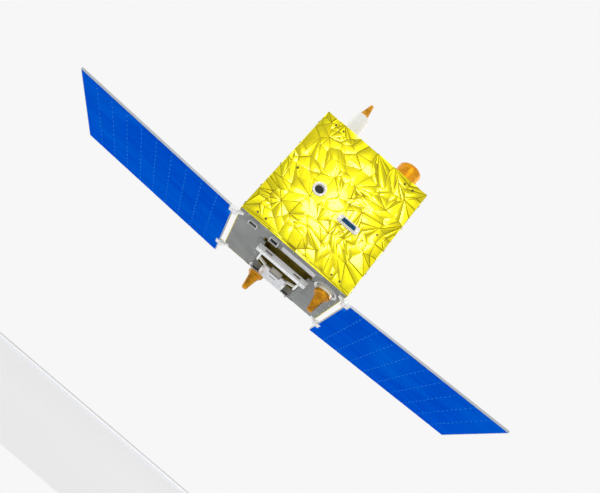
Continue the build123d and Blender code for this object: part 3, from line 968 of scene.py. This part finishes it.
def cellFilm(name):
    # the film below the cells, notched for the hinge lugs
    film = sheet(name, wingLong, 2 * wing["half"])
    bpy.ops.transform.translate(value=(wing["start"] + wingLong / 2, 0, wing["board"]))
    cutAcross((wing["notchEnd"], 0, 0), (1, 0, 0))
    for hinge in wing["hinges"]:
        for edge in (hinge - wing["notch"], hinge + wing["notch"]):
            cutAcross((0, edge, 0), (0, 1, 0))

    def inNotch(face):
        middle = face.calc_center_median()
        return middle.x < wing["notchEnd"] and nearHinge(middle.y)

    choose(film, "faces", inNotch)
    bpy.ops.mesh.delete(type="FACE")
    chooseAll()
    drawOut(-wing["film"])
    faceOutward()
    endEdit()
    return film


def cellTabs(name, filmTop):
    # tabs across each joint between columns
    deselectAll()
    bpy.ops.mesh.primitive_cylinder_add(
        vertices=wing["tabSides"], radius=0.5, depth=1, location=(0, 0, 0)
    )
    tab = latest(name)
    startEdit(tab)
    chooseAll()
    bpy.ops.transform.resize(value=wing["tab"])
    bpy.ops.transform.translate(
        value=(wing["start"] + pitchX, pitchY - wing["half"], filmTop - wing["tab"][2] / 2)
    )
    endEdit()
    fillWing(tab, wing["columns"] - 1, wing["rows"] - 1)
    return tab


def wingCells(side, name):
    filmTop = wing["board"] - wing["film"]
    cell = glassCells(name + "_cell", filmTop)
    film = cellFilm(name + "_film")
    tab = cellTabs(name + "_tab", filmTop)
    cell.data.materials.append(cellFinish(name + "_glass", side))
    film.data.materials.append(filmFinish)
    tab.data.materials.append(tabFinish)
    whole = join([cell, film, tab], name)
    settle(whole, wingPlace(side))
    if side < 0:
        startEdit(whole)
        faceOutward()
        endEdit()
    return whole


for side, word in ((1, "right"), (-1, "left")):
    cells = wingCells(side, word + "_cells")
    standFor(cells, word + "_wing", "solar_glass", word + "_wing_cells")
print("wing cells laid")


# Turned pieces: a disc is drawn out step by step along radius and height
def turned(name, steps, place, bevel, sides=48):
    deselectAll()
    radius, height = steps[0]
    bpy.ops.mesh.primitive_circle_add(
        vertices=sides, radius=radius, fill_type="NGON", location=(0, 0, height)
    )
    made = latest(name)
    settle(made)
    startEdit(made)
    chooseAll()
    for wide, high in steps[1:]:
        drawOut(high - height)
        share = wide / radius
        bpy.ops.transform.resize(value=(share, share, 1), center_override=(0, 0, high))
        radius, height = wide, high
    faceOutward()
    endEdit()
    addModifier(
        made, "BEVEL", width=bevel, segments=2, limit_method="ANGLE", angle_limit=math.radians(30)
    )
    settle(made, place)
    smooth(made)
    return made


# Cone antennas: a broad foot, a second step, then the tapered cone with raised bands
cone = {
    "level": 0.032,
    "bevel": 0.0004,
    # radius and height of each step
    "foot": [
        (0.0310, 0.0180),
        (0.0310, 0.0282),
        (0.0294, 0.0312),
        (0.0262, 0.0337),
        (0.0235, 0.0342),
    ],
    "step": [(0.0235, 0.0396), (0.0206, 0.0400)],
    "bands": [0.046, 0.056, 0.066, 0.076, 0.086],
    "bandWide": 0.0012,
    "bandProud": 0.0003,
    "bandSlope": 0.0002,
    "root": (0.0203, 0.0400),
    "tip": (0.0102, 0.0956),
    "cap": [(0.0086, 0.0973), (0.0055, 0.0980)],
}


def coneRadius(height):
    (wide, low), (narrow, high) = cone["root"], cone["tip"]
    return wide + (narrow - wide) * (height - low) / (high - low)


def coneSteps():
    steps = cone["foot"] + cone["step"]
    for band in cone["bands"]:
        top = band + cone["bandWide"]
        steps += [
            (coneRadius(band), band),
            (coneRadius(band) + cone["bandProud"], band + cone["bandSlope"]),
            (coneRadius(top) + cone["bandProud"], top),
            (coneRadius(top), top + cone["bandSlope"]),
        ]
    return steps + [cone["tip"]] + cone["cap"]


hanging = Matrix.Rotation(math.pi, 4, "X")
places = [Matrix.Translation((x, y, cone["level"])) @ hanging for x, y in coneSpots]
cones = join([turned("cone", coneSteps(), place, cone["bevel"]) for place in places], "amber_cones")
cones.data.materials.append(finishes["amber_radome"])
standFor(cones, "bus", "amber_radome", "antenna_cones")
print("cones turned")

# Screws: one head with a socket, copied to each place
screw = {
    "sides": 12,
    "radius": 0.0030,
    "height": 0.0020,
    "socket": 0.0014,
    "depth": 0.0012,
    "edge": 0.0004,
    "hair": 0.00001,  # tolerance on the height
    "rim": 0.95,  # of the radius
    "upward": 0.9,  # how far up the top's normal points at least
    "soft": 40,
}


def screwHead(name, scale):
    deselectAll()
    bpy.ops.mesh.primitive_cylinder_add(
        vertices=screw["sides"],
        radius=screw["radius"],
        depth=screw["height"],
        location=(0, 0, screw["height"] / 2),
    )
    head = latest(name)
    settle(head)
    startEdit(head)
    choose(head, "faces", lambda face: face.normal.z > screw["upward"])
    bpy.ops.mesh.inset(thickness=screw["radius"] - screw["socket"])
    drawOut(-screw["depth"])
    top, rim = screw["height"] - screw["hair"], screw["radius"] * screw["rim"]
    choose(
        head,
        "edges",
        lambda edge: all(vert.co.z > top and vert.co.xy.length > rim for vert in edge.verts),
    )
    bpy.ops.mesh.bevel(offset=screw["edge"], segments=1)
    chooseAll()
    bpy.ops.transform.resize(value=(scale, scale, scale), center_override=(0, 0, 0))
    endEdit()
    return head


def screws(name, spots, scale, body="bus", slot="bright_metal", finish="bright_metal"):
    # spots are place and the way the head faces
    head = screwHead(name + "_head", scale)
    head.data.materials.append(finishes[finish])
    copies = []
    for place, out in spots:
        turn = Vector(out).to_track_quat("Z", "Y").to_matrix().to_4x4()
        copies.append(copyTo(head, Matrix.Translation(place) @ turn))
    bpy.data.objects.remove(head)
    made = join(copies, name)
    smooth(made, screw["soft"])
    standFor(made, body, slot)


def spotGrid(xs, ys, zs, out):
    return [((x, y, z), out) for x in xs for y in ys for z in zs]


def row(first, last, count):
    # evenly spaced numbers from first to last
    return [first + (last - first) * i / (count - 1) for i in range(count)]


def ring(x, y, z, radius, count, out, start=0.0):
    spots = []
    for i in range(count):
        angle = start + 2 * math.pi * i / count
        spots.append(((x + radius * math.cos(angle), y + radius * math.sin(angle), z), out))
    return spots


down, up, ahead, behind = (0, 0, -1), (0, 0, 1), (0, -1, 0), (0, 1, 0)
rightward, leftward = (1, 0, 0), (-1, 0, 0)

# Fasteners through the foil: each face's level, and where they are on it
wrap = {
    "front": -0.2555,
    "back": 0.1895,
    "side": 0.2255,
    "roof": 0.5105,
    "across": (-0.174, -0.1395, 0.1395, 0.1746),
    "heights": (0.054, 0.4847),
    "middle": 0.2678,
    "sideDepths": (-0.243, 0.177),
    "sideHeights": (0.056, 0.1395, 0.245, 0.351, 0.459),
    "roofAcross": (-0.2, 0, 0.2),
    "roofDepths": (-0.23, 0.165),
    "scale": 1.3,
}
ends = (wrap["across"][0], wrap["across"][-1])
foilSpots = spotGrid(wrap["across"], [wrap["front"]], wrap["heights"], ahead)
foilSpots += spotGrid(ends, [wrap["front"]], [wrap["middle"]], ahead)
foilSpots += spotGrid(wrap["across"], [wrap["back"]], wrap["heights"], behind)
foilSpots += spotGrid(wrap["roofAcross"], wrap["roofDepths"], [wrap["roof"]], up)
foilSpots += spotGrid([-wrap["side"]], wrap["sideDepths"], wrap["sideHeights"], leftward)
foilSpots += spotGrid([wrap["side"]], wrap["sideDepths"], wrap["sideHeights"], rightward)
screws("foil_fasteners", foilSpots, wrap["scale"], finish="fastener")

# Screws round the bottom panel
under = {
    "level": 0.032,
    "front": -0.246,
    "frontAcross": (-0.19, -0.117, -0.045, 0.0, 0.12, 0.2),
    "back": 0.180,
    "backAcross": (-0.19, -0.13, 0.05, 0.12, 0.19),
    "side": 0.215,
    "sideDepths": row(-0.15, 0.09, 4),
    "scale": 0.9,
}
underSpots = spotGrid(under["frontAcross"], [under["front"]], [under["level"]], down)
underSpots += spotGrid(under["backAcross"], [under["back"]], [under["level"]], down)
underSpots += spotGrid([-under["side"]], under["sideDepths"], [under["level"]], down)
underSpots += spotGrid([under["side"]], under["sideDepths"], [under["level"]], down)
screws("panel_screws", underSpots, under["scale"])

# Screws of the access cover and the two slit sensors
cover = {
    "across": (-0.033, 0.033, 0.099),
    "depths": (-0.2195, -0.1895),
    "level": 0.030,
    # middle and length
    "sensors": [(-0.162, -0.211, 0.038), (-0.072, -0.213, 0.046)],
    "sensorAcross": 0.0165,
    "sensorEdge": 0.0025,
    "sensorLevel": 0.024,
    "scale": 0.6,
}
coverSpots = spotGrid(cover["across"], cover["depths"], [cover["level"]], down)
for x, y, long in cover["sensors"]:
    across, along = cover["sensorAcross"], long / 2 - cover["sensorEdge"]
    corners = (x - across, x + across), (y - along, y + along)
    coverSpots += spotGrid(*corners, [cover["sensorLevel"]], down)
screws("cover_screws", coverSpots, cover["scale"])

# Screws round the dishes, the antennas' flanges and the sockets
dishRing = {"level": 0.0295, "radius": 0.0382, "count": 8, "start": 0.2, "scale": 0.75}
dishSpots = []
for x, y in coneSpots:
    dishSpots += ring(
        x, y, dishRing["level"], dishRing["radius"], dishRing["count"], down, dishRing["start"]
    )
screws("dish_screws", dishSpots, dishRing["scale"])

flange = {
    # x, y, level, radius, how many, the way they face, the first one's angle
    "mast": (-0.130, -0.143, 0.5117, 0.0345, 8, up, 0.2),
    "drum": (0.132, -0.143, 0.5117, 0.049, 10, up),
    "scale": 0.8,
}
screws("antenna_screws", ring(*flange["mast"]) + ring(*flange["drum"]), flange["scale"])

socket = {
    "round": (-0.0715, 0, 0, 0.0215, 4, ahead, math.pi / 4),  # laid flat, then stood up
    "front": -0.2593,
    "height": 0.259,
    "flat": (0.0415, 0.1155),
    "flatHeight": 0.228,
    "scale": 0.8,
}
socketSpots = [
    ((x, socket["front"], socket["height"] + y), out) for (x, y, z), out in ring(*socket["round"])
]
socketSpots += spotGrid(socket["flat"], [socket["front"]], [socket["flatHeight"]], ahead)
screws("socket_screws", socketSpots, socket["scale"])

# Screws and pivots of the release mechanism, the same on both sides: xs, depths, level
release = {
    "rows": [
        ((0.105,), (-0.060, 0.0, 0.060, 0.12), 0.029),
        ((0.0985, 0.030, 0.083), (-0.128,), 0.0),
        ((0.050,), (0.006, 0.055), 0.0),
        ((0.020, 0.060), (0.073,), 0.0),
        ((0.083,), (-0.105, -0.034), 0.0),
    ],
    "scale": 0.85,
}
releaseSpots = []
for xs, depths, level in release["rows"]:
    for side in (-1, 1):
        releaseSpots += spotGrid([side * x for x in xs], depths, [level], down)
screws("release_screws", releaseSpots, release["scale"])

for side, word in ((1, "right"), (-1, "left")):
    place = wingPlace(side)
    faceDown = place.to_3x3() @ Vector(down)
    lugSpots = []
    for hinge in wing["hinges"]:
        for along in wing["lugScrews"]:
            spot = Vector((wing["lugScrew"], hinge + along, wing["board"]))
            lugSpots.append((place @ spot, faceDown))
    screws(
        word + "_lug_screws",
        lugSpots,
        wing["lugScrewScale"],
        word + "_wing",
        "white_paint",
        "white_paint",
    )
print("fasteners set")


# Floor, backdrop and lights
stage = {
    "floorDrop": 0.0116,  # under the camera
    "floorWide": 40,
    "floor": (0.80, 0.80, 0.80),
    "floorShade": 0.97,
    "floorRoughness": 0.9,
    "floorGlow": 0.1,
    "backdrop": (0.93, 0.93, 0.93),
    "world": 0.58,
    # name, place, aim, size, power
    "lamps": [
        ("key", (0.05, -3.3, 1.6), (0, -0.1, 0.25), 0.6, 20),
        ("left", (-2.9, 0.5, 0.9), (0, 0, 0.2), 1.6, 27),
        ("right", (2.9, 0.7, 1.2), (0, 0, 0.2), 1.6, 27),
        ("back", (0.4, 3.0, 2.0), (0, 0, 0.3), 1.8, 40),
    ],
}

deselectAll()
bpy.ops.mesh.primitive_plane_add(
    size=stage["floorWide"], location=(0, 0, camera["place"][2] - stage["floorDrop"])
)
floor = latest("floor")
floorFinish, floorShader, floorPlace = newFinish(
    "floor", Roughness=stage["floorRoughness"], Emission_Strength=stage["floorGlow"]
)
speck = floorPlace.noise(scale=3, detail=2).spread(0.3, 0.7)
shade = [part * stage["floorShade"] for part in stage["floor"]]
paleness = speck.mix((*stage["floor"], 1), (*shade, 1))
wireTo(floorShader, Base_Color=paleness, Emission_Color=paleness)
floor.data.materials.append(floorFinish)

world = bpy.data.worlds.new("backdrop")
bpy.context.scene.world = world
world.use_nodes = True
sky = world.node_tree
sky.nodes.clear()
path = sky.nodes.new("ShaderNodeLightPath")
seen = Wire(sky, path.outputs["Is Camera Ray"])
for ray in ("Is Glossy Ray", "Is Transmission Ray"):
    seen = seen.math("MAXIMUM", seen, Wire(sky, path.outputs[ray]))
shown = seen.node("ShaderNodeBackground", {}, {"Color": (*stage["backdrop"], 1), "Strength": 1.0})
lit = seen.node("ShaderNodeBackground", {}, {"Color": (1, 1, 1, 1), "Strength": stage["world"]})
both = seen.node("ShaderNodeMixShader", {}, {0: seen, 1: lit, 2: shown})
sky.links.new(both.socket, sky.nodes.new("ShaderNodeOutputWorld").inputs["Surface"])

for name, place, aim, size, power in stage["lamps"]:
    bpy.ops.object.light_add(type="AREA", location=place)
    lamp = bpy.context.active_object
    lamp.name = name
    lamp.data.shape = "DISK"
    lamp.data.size = size
    lamp.data.energy = power
    lamp.rotation_euler = (Vector(aim) - Vector(place)).to_track_quat("-Z", "Y").to_euler()

bpy.context.scene.view_settings.view_transform = "Standard"
print("stage lit")
